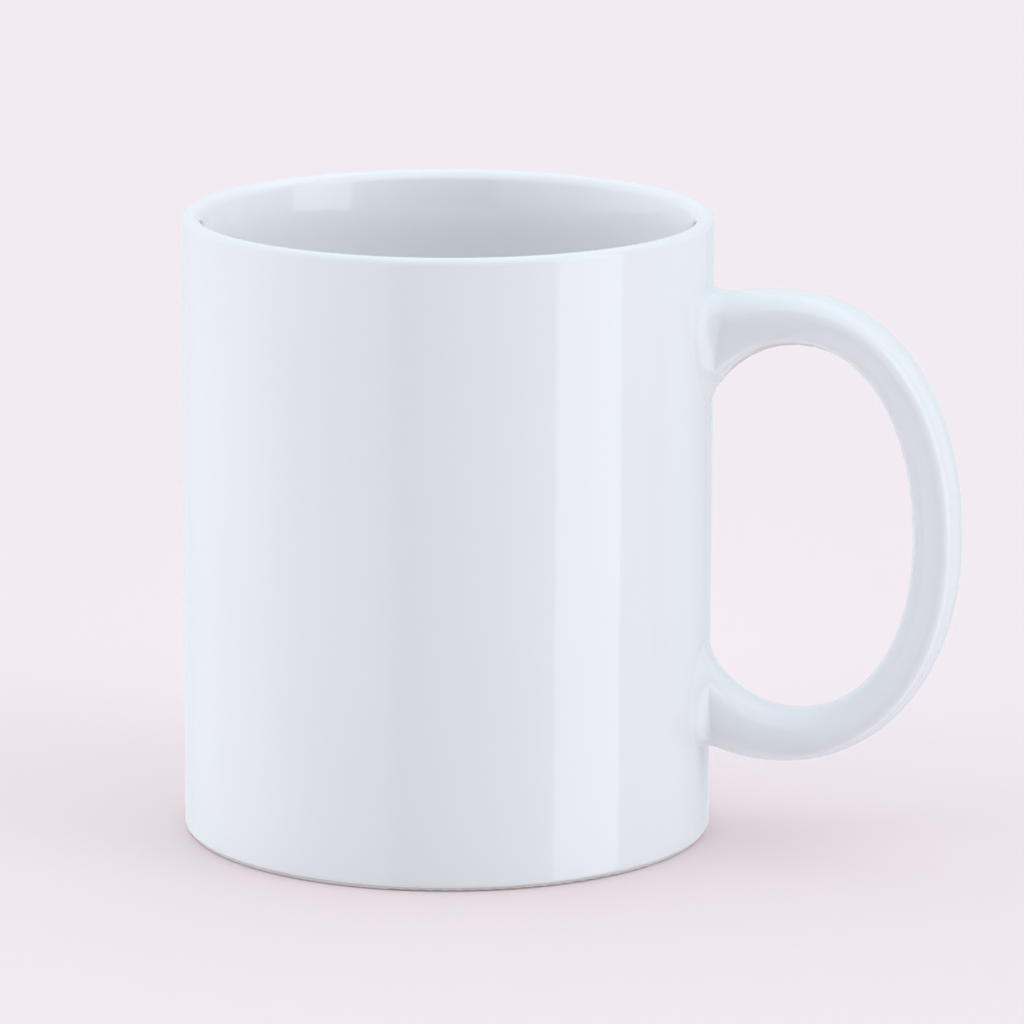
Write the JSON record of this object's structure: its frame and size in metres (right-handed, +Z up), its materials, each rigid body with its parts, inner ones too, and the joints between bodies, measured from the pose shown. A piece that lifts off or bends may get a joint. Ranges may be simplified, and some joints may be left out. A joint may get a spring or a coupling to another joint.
{
  "type": "ceramic mug",
  "caption": "Straight-sided glazed ceramic mug with a rounded rim, an unglazed foot ring and a loop handle joined on with slip.",
  "frame": {"origin": "on the cup's axis, in the plane of the foot ring", "axes": "+Z up along the cup's axis, +X from the axis through the middle of the handle"},
  "size_m": [0.1213, 0.082, 0.097],
  "materials": {
    "fired_clay": "bare fired stoneware, matte and slightly rough",
    "fired_slip": "bare fired slip, matte",
    "inner_glaze": "white gloss glaze",
    "outer_glaze": "white gloss glaze under a clear print coating",
    "base_glaze": "white gloss glaze",
    "handle_glaze": "white gloss glaze"
  },
  "bodies": {
    "root": {"clay_body": "fired_clay", "handle": "fired_clay", "upper_slip_joint": "fired_slip", "lower_slip_joint": "fired_slip", "inner_glaze": "inner_glaze", "outer_glaze": "outer_glaze", "base_glaze": "base_glaze", "handle_glaze": "handle_glaze"}
  },
  "joints": []
}
